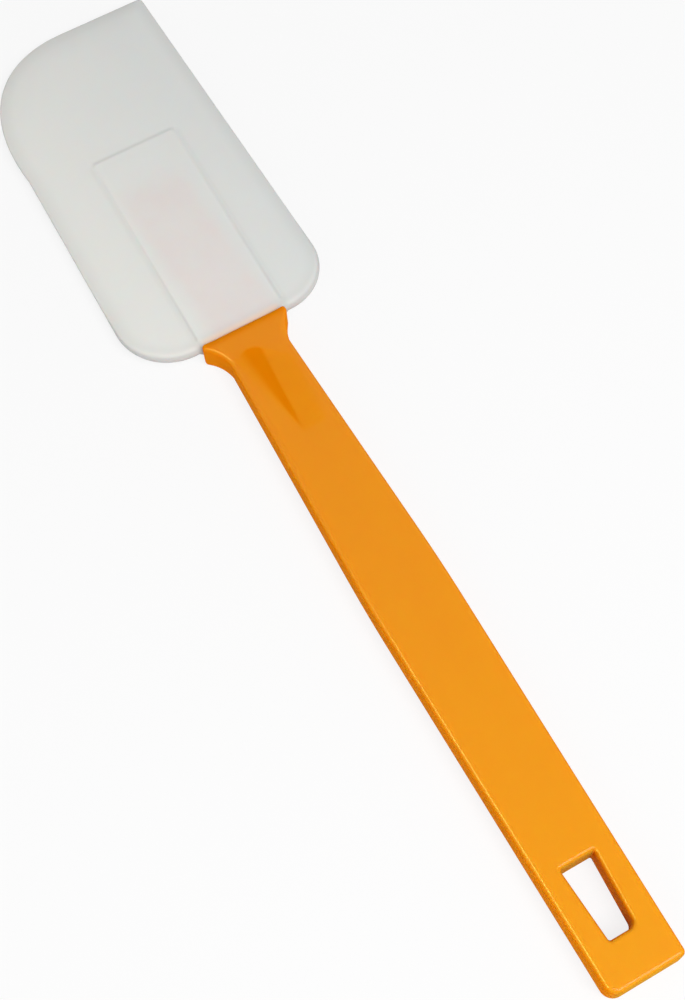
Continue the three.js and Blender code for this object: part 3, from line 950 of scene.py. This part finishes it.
def blade_shape(blade, handle, material):
    shape = Shape(
        "Blade moulding",
        {
            "Base": BLADE_BASE,
            "Length": BLADE_LENGTH,
            "Base thickness": blade.base_thickness,
            "Tip thickness": blade.tip_thickness,
            "Base edge": blade.base_edge,
            "Thin edge": blade.thin_edge,
            "Thick edge length": blade.thick_edge_length,
            "Feather": blade.feather,
            "Base rounding": blade.base_rounding,
            "Thin rounding": blade.thin_rounding,
            "Pad end": TONGUE_TIP + blade.pad_beyond,
            "Pad half width": pad_half_width(blade, handle),
            "Pad half thickness": PAD_HALF_THICKNESS,
            "Pad shift at base": blade.pad_shift_base,
            "Pad shift at end": blade.pad_shift_end,
            "Pad slope": blade.pad_slope,
            "Pad corner": blade.pad_corner,
            "Pad rise at end": blade.pad_end_rise,
            "Pad fillet": blade.pad_fillet,
            "Plate half thickness": handle.tongue_thickness / 2 + handle.fit_gap,
            "Plate rim": handle.tongue_rim,
        },
    )
    size = shape.size
    x, y, _ = shape.axes(shape.add("GeometryNodeInputPosition"))
    plate = shape.attribute("plate")
    rounding = shape.sine(shape.attribute("rim") * QUARTER_TURN)
    from_base = x - size("Base")

    core = shape.between(size("Base thickness"), size("Tip thickness"), from_base / size("Length"))
    thin = shape.rise(from_base, 0, size("Thick edge length"))
    edge = shape.between(size("Base edge"), size("Thin edge"), thin)
    width = shape.between(size("Base rounding"), size("Thin rounding"), thin)
    body = shape.split(size("Sheet"), plate).out("Inverted")
    rim = shape.split(body, shape.border(), "EDGE")
    nearest = {"target_element": "EDGES"}
    distance = shape.add("GeometryNodeProximity", nearest, {"Geometry": rim}, "Distance")
    inner = shape.clamp((distance - width) / (size("Feather") - width))
    face = shape.between(edge, core, shape.sine(inner * QUARTER_TURN)) / 2

    corner = size("Pad corner")
    along_pad = from_base / (size("Pad end") - size("Base"))
    middle = shape.between(size("Pad shift at base"), size("Pad shift at end"), along_pad)
    across = abs(y - middle) - size("Pad half width") + corner
    beyond = x - size("Pad end") + corner
    outside = shape.math("SQRT", shape.most(across, 0) ** 2 + shape.most(beyond, 0) ** 2)
    to_pad = outside + shape.least(shape.most(across, beyond), 0) - corner
    slope = shape.rise(to_pad, -size("Pad slope"), 0)
    before_end = 1 - shape.rise(x, size("Pad end") - 2 * size("Pad slope"), size("Pad end"))
    # Band round the pad's foot, kept on the mesh for the painted shade that the rubber puts there
    crease = before_end * (1 - shape.rise(abs(to_pad), 0, size("Pad slope")))
    rise = size("Pad half thickness") - size("Base thickness") / 2
    rise = rise * shape.between(1, size("Pad rise at end"), along_pad)
    pad = core / 2 + rise * (1 - slope) - FOOT_SLOPE * shape.most(to_pad, 0)
    raised = shape.math("SMOOTH_MAX", face, pad, size("Pad fillet"))

    past_base = shape.rise(from_base, size("Base thickness"), 2 * size("Base thickness"))
    round_edge = shape.most(slope, past_base)
    half = raised * shape.between(1, shape.between(PARTING_LAND, 1, rounding), round_edge)
    plate_upper, plate_lower = plate_faces(shape, rounding)
    upper = shape.between(MIDDLE + half, plate_upper, plate)
    lower = shape.between(MIDDLE - half, plate_lower, plate)
    sheet = shape.store(shape.store(size("Sheet"), "inset", distance), "crease", crease)
    solid = shape.moulded(sheet, upper, lower)
    parts = shape.split(solid, plate)
    shape.finish(shape.combine("DIFFERENCE", parts.out("Inverted"), parts.out("Selection")), material)
    return shape


def noise(nodes, point, scale, detail, stretch=(1, 1, 1)):
    """Soft noise from 0 to 1, stretched along the axes."""
    point = nodes.add("ShaderNodeVectorMath", {"operation": "MULTIPLY"}, {0: point, 1: stretch})
    return nodes.add("ShaderNodeTexNoise", None, {"Vector": point, "Scale": scale, "Detail": detail})


def finish_material(name, fill):
    """Material whose nodes a function fills in. It gets the tree and the object's own coordinates."""
    material = bpy.data.materials.new(name)
    material.use_nodes = True
    nodes = Nodes(material.node_tree)
    point = nodes.add("ShaderNodeTexCoord").out("Object")
    shader = fill(nodes, point)
    nodes.add("ShaderNodeOutputMaterial", None, {"Surface": shader})
    return material


def attribute(nodes, name):
    """A value that the piece's mesh holds at its points."""
    return nodes.add("ShaderNodeAttribute", {"attribute_name": name}).out("Fac")


def facing(nodes):
    """How far the surface faces the sides or the blade, and how level it lies."""
    ahead, side, up = nodes.axes(nodes.add("ShaderNodeTexCoord").out("Normal"))
    return nodes.most(ahead, abs(side)), abs(up)


def gloss_plastic(looks, sizes):
    def fill(nodes, point):
        x, y, z = nodes.axes(point)
        mottle = noise(nodes, point, **PLASTIC_CLOUD) + noise(nodes, point, **PLASTIC_FLOW)
        along = (x - HANDLE_END) / (BLADE_BASE - HANDLE_END)
        along = nodes.clamp(along + PLASTIC_MOTTLE * (mottle - 2 * NOISE_MEAN))
        tint = nodes.blend(along, looks.plastic, looks.plastic_deep)

        # Painted shade: the hollow's slanted facet takes a darker colour on top of the shade that its
        # real slope gets
        facet, fade = neck_hollow(nodes, hollow_sizes(sizes).get, x, y)
        in_facet = nodes.rise(facet, *HOLLOW_CREASE_SPAN) * (1 - nodes.rise(facet, *HOLLOW_OUTER_SPAN))
        shade = in_facet * nodes.rise(fade, *HOLLOW_DEPTH_SPAN) * nodes.rise(z, MIDDLE, TOP)
        # Painted shade: a band along the collar's front edge, which also dulls the gloss there
        front = collar_front(sizes)
        on_bar = 1 - nodes.rise(x, front, BLADE_BASE)
        front_shade_band = nodes.rise(x, front - FRONT_SHADE_START, front - FRONT_SHADE_FULL) * on_bar
        tint = nodes.blend(nodes.most(shade, FRONT_SHADE_SHARE * front_shade_band), tint, looks.plastic_painted_shade)

        # Painted shade: steep walls take darker copies of the plastic, the end wall one of its own
        sideways, level = facing(nodes)
        side_wall = nodes.rise(sideways, *SIDE_WALL_SPAN)
        wall_shade_tint = nodes.blend(side_wall, looks.plastic_end_shade, looks.plastic_wall_shade)
        tint = nodes.blend(nodes.rise(level, *FACE_SPAN), wall_shade_tint, tint)

        below_face = (TOP - UNDERSIDE) / 2 - abs(z - MIDDLE)
        steep = 1 - nodes.rise(level, *GLOSSY_SPAN)
        wall = nodes.most(steep, nodes.rise(below_face, *GLOSSY_DEPTH_SPAN))
        across = nodes.rise(facet, *DULL_INNER_SPAN) * (1 - nodes.rise(facet, *DULL_OUTER_SPAN))
        in_hollow = nodes.rise(fade, *DULL_DEPTH_SPAN) * across
        dull = nodes.most(nodes.most(wall, in_hollow), front_shade_band)
        handled = 1 - HANDLING_LOSS * noise(nodes, point, **PLASTIC_HANDLING)
        gloss = nodes.between(looks.face_gloss, looks.wall_gloss, dull) * handled

        ripple = noise(nodes, point, **PLASTIC_RIPPLE)
        grain = noise(nodes, point, **PLASTIC_GRAIN)
        height = RIPPLE_SHARE * ripple + GRAIN_SHARE * grain
        bump = nodes.add("ShaderNodeBump", None, {**PLASTIC_BUMP, "Height": height})
        return nodes.add(
            "ShaderNodeBsdfPrincipled",
            None,
            {
                **PLASTIC_SHADER,
                "Base Color": tint,
                "Normal": bump,
                "Coat Weight": gloss,
                "Coat Roughness": looks.plastic_roughness,
            },
        )

    return finish_material("gloss_plastic", fill)


def soft_rubber(looks, handle):
    def fill(nodes, point):
        x, y, _ = nodes.axes(point)
        cloud = noise(nodes, point, **RUBBER_CLOUD)
        patch = noise(nodes, point, **RUBBER_PATCH)
        # Painted shade: the blade darkens towards its tip and its square side, with random mottle on
        # top
        along = nodes.clamp((x - BLADE_BASE) / BLADE_LENGTH)
        side = SIDE_SHADE_SHARE - y / SIDE_SHADE_WIDTH
        square = nodes.clamp(RUBBER_SHADE_AND_MOTTLE * (along + cloud - NOISE_MEAN) + side)
        tint = nodes.blend(square, looks.rubber_lit, looks.rubber_shaded)

        half = handle.tongue_width / 2
        lean = WARM_LEAN * (x - BLADE_BASE) / (TONGUE_TIP - BLADE_BASE) + WARM_SHIFT
        beside = nodes.rise(abs(y - lean), half - WARM_INSIDE, half + WARM_OUTSIDE)
        beyond = nodes.rise(x, TONGUE_TIP - WARM_BEFORE_TIP, TONGUE_TIP + WARM_PAST_TIP)
        warm = (1 - beside) * (1 - beyond) * nodes.clamp(WARM_LEAST + WARM_PATCH * patch)
        tint = nodes.blend(warm, tint, looks.rubber_warm)

        # Painted light: orange bounce light from the collar on the blade right next to it
        glow = 1 - nodes.rise(x, BLADE_BASE, BLADE_BASE + BOUNCE_LENGTH)
        glow = glow * (1 - nodes.rise(abs(y), COLLAR_HALF - BOUNCE_SIDE, COLLAR_HALF))
        tint = nodes.blend(glow, tint, looks.rubber_bounce)

        # Painted shade: the blade darkens towards its edge
        inside = nodes.rise(attribute(nodes, "inset"), 0, BORDER_SHADE_WIDTH)
        border = looks.rubber_border_shade * (1 - inside)
        # Painted shade along the foot of the pad's sides
        crease = looks.rubber_crease_shade * attribute(nodes, "crease")
        tint = nodes.blend(border + crease, tint, BLACK)
        # Painted shade: steep rims of the blade and the pad take a darker colour
        _, level = facing(nodes)
        tint = nodes.blend(nodes.rise(level, *RUBBER_FACE_SPAN), looks.rubber_rim_shade, tint)

        grain = noise(nodes, point, **RUBBER_GRAIN)
        ripple = noise(nodes, point, **RUBBER_RIPPLE)
        bump = nodes.add("ShaderNodeBump", None, {**RUBBER_BUMP, "Height": (grain + ripple) / 2})
        return nodes.add(
            "ShaderNodeBsdfPrincipled",
            None,
            {
                **RUBBER_SHADER,
                "Base Color": tint,
                "Roughness": looks.rubber_roughness + ROUGHNESS_PATCH * (patch - NOISE_MEAN),
                "Normal": bump,
            },
        )

    return finish_material("soft_rubber", fill)


def seen_rays(nodes):
    """1 for what the camera sees, straight or in a mirror or through glass."""
    path = nodes.add("ShaderNodeLightPath")
    mirrored = nodes.most(path.out("Is Glossy Ray"), path.out("Is Transmission Ray"))
    return nodes.most(path.out("Is Camera Ray"), mirrored)


def floor_paper(looks):
    def fill(nodes, point):
        speckle = noise(nodes, point, **PAPER_SPECKLE)
        tint = nodes.blend(SPECK_SHARE * speckle, looks.floor, FLOOR_SPECK)
        paper = nodes.add("ShaderNodeBsdfDiffuse", None, {"Color": tint})
        white = nodes.add("ShaderNodeEmission", None, {"Color": opaque(WHITE)})
        x, y, _ = nodes.axes(point)
        away = nodes.rise(nodes.math("SQRT", x * x + y * y), *FLOOR_FADE_SPAN)
        whiteness = nodes.most(away, FLOOR_WHITENESS * seen_rays(nodes))
        return nodes.add("ShaderNodeMixShader", None, {0: whiteness, 1: paper, 2: white})

    return finish_material("floor_paper", fill)


class SPATULA_OT_handle(bpy.types.Operator):
    """Moulds the handle with its hang hole, neck hollow and tongue"""

    bl_idname = "spatula.handle"
    bl_label = "Handle"

    def execute(self, context):
        sizes = context.scene.spatula_handle
        material = gloss_plastic(context.scene.spatula_finishes, sizes)
        piece = link("handle_moulding", handle_sheet(sizes, material))
        handle_shape(sizes, material).mesh(piece)
        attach(piece, "handle")
        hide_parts("handle")
        return {"FINISHED"}


class SPATULA_OT_blade(bpy.types.Operator):
    """Moulds the soft blade with its pad and socket"""

    bl_idname = "spatula.blade"
    bl_label = "Blade"

    def execute(self, context):
        blade = context.scene.spatula_blade
        handle = context.scene.spatula_handle
        material = soft_rubber(context.scene.spatula_finishes, handle)
        piece = link("blade_moulding", blade_sheet(blade, handle, material))
        blade_shape(blade, handle, material).mesh(piece)
        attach(piece, "blade")
        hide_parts("blade")
        return {"FINISHED"}


def softbox(name, lamp, power):
    light = bpy.data.lights.new(name, "AREA")
    light.shape = "RECTANGLE"
    light.size, light.size_y = lamp["size"]
    light.color = lamp["colour"]
    light.energy = power
    box = link(name, light)
    box.location = lamp["place"]
    box.rotation_euler = (-Vector(lamp["place"])).to_track_quat("-Z", "Y").to_euler()
    return box


def sky(strength):
    """Light from all round: a dim dome with a dark patch, and a bright horizon. It looks white."""
    world = bpy.data.worlds.new("sky")
    world.use_nodes = True
    nodes = Nodes(world.node_tree)
    ray = nodes.add("ShaderNodeTexCoord").out("Generated")
    _, _, up = nodes.axes(ray)
    both = {0: ray, 1: SKY_PATCH_TOWARDS}
    towards = nodes.add("ShaderNodeVectorMath", {"operation": "DOT_PRODUCT"}, both, "Value")
    dome = SKY_DOME - SKY_PATCH_LOSS * nodes.rise(towards, *SKY_PATCH_SPAN)
    horizon = 1 - nodes.rise(up, *HORIZON_SPAN)
    light = nodes.between(dome, SKY_HORIZON, horizon) * strength
    light = nodes.between(light, SKY_SEEN, seen_rays(nodes))
    inputs = {"Color": opaque(WHITE), "Strength": light}
    background = nodes.add("ShaderNodeBackground", None, inputs)
    nodes.add("ShaderNodeOutputWorld", None, {"Surface": background})
    bpy.context.scene.world = world


class SPATULA_OT_stage(bpy.types.Operator):
    """Sets up the floor, the light and the camera"""

    bl_idname = "spatula.stage"
    bl_label = "Stage"

    def execute(self, context):
        stage = context.scene.spatula_stage
        half = FLOOR_SIZE / 2
        mesh = bpy.data.meshes.new("floor")
        corners = [(-half, -half), (half, -half), (half, half), (-half, half)]
        mesh.from_pydata([(x, y, UNDERSIDE - FLOOR_GAP) for x, y in corners], [], [(0, 1, 2, 3)])
        mesh.materials.append(floor_paper(context.scene.spatula_finishes))
        link("floor", mesh)
        softbox("front_lamp", FRONT_LAMP, stage.front_power)
        softbox("side_lamp", SIDE_LAMP, stage.side_power)
        strip = softbox("strip_lamp", STRIP_LAMP, stage.strip_power)
        strip.visible_diffuse = False
        sky(stage.sky)
        view = bpy.data.cameras.new("camera")
        view.sensor_fit = "AUTO"
        view.sensor_width = SENSOR
        view.lens = stage.camera_lens
        camera = link("camera", view)
        start = Vector(stage.camera_place)
        towards = Vector(stage.camera_aim) - start
        roll = Quaternion((0, 0, 1), stage.camera_roll)
        camera.rotation_mode = "QUATERNION"
        camera.rotation_quaternion = towards.to_track_quat("-Z", "Y") @ roll
        camera.location = start
        context.scene.camera = camera
        context.scene.view_settings.view_transform = "Standard"
        return {"FINISHED"}


class SPATULA_PT_panel(bpy.types.Panel):
    """Sizes, finishes and steps of the spatula"""

    bl_idname = "SPATULA_PT_panel"
    bl_label = "Spatula"
    bl_space_type = "VIEW_3D"
    bl_region_type = "UI"
    bl_category = "Spatula"

    def draw(self, context):
        for name, step in GROUPS.items():
            box = self.layout.box()
            settings = getattr(context.scene, name)
            for prop in settings.bl_rna.properties:
                if not prop.is_readonly and prop.identifier != "name":
                    box.prop(settings, prop.identifier)
            if step:
                box.operator(step)


GROUPS = {
    "spatula_handle": "spatula.handle",
    "spatula_blade": "spatula.blade",
    "spatula_finishes": None,
    "spatula_stage": "spatula.stage",
}
SETTINGS = (HandleSizes, BladeSizes, Finishes, StageSettings)
CLASSES = (*SETTINGS, SPATULA_OT_handle, SPATULA_OT_blade, SPATULA_OT_stage, SPATULA_PT_panel)


def register():
    for one in CLASSES:
        bpy.utils.register_class(one)
    for name, settings in zip(GROUPS, SETTINGS):
        setattr(bpy.types.Scene, name, PointerProperty(type=settings))


def unregister():
    for name in GROUPS:
        delattr(bpy.types.Scene, name)
    for one in reversed(CLASSES):
        bpy.utils.unregister_class(one)


def main():
    register()
    bpy.ops.spatula.handle()
    bpy.ops.spatula.blade()
    bpy.ops.spatula.stage()


if __name__ == "__main__":
    main()
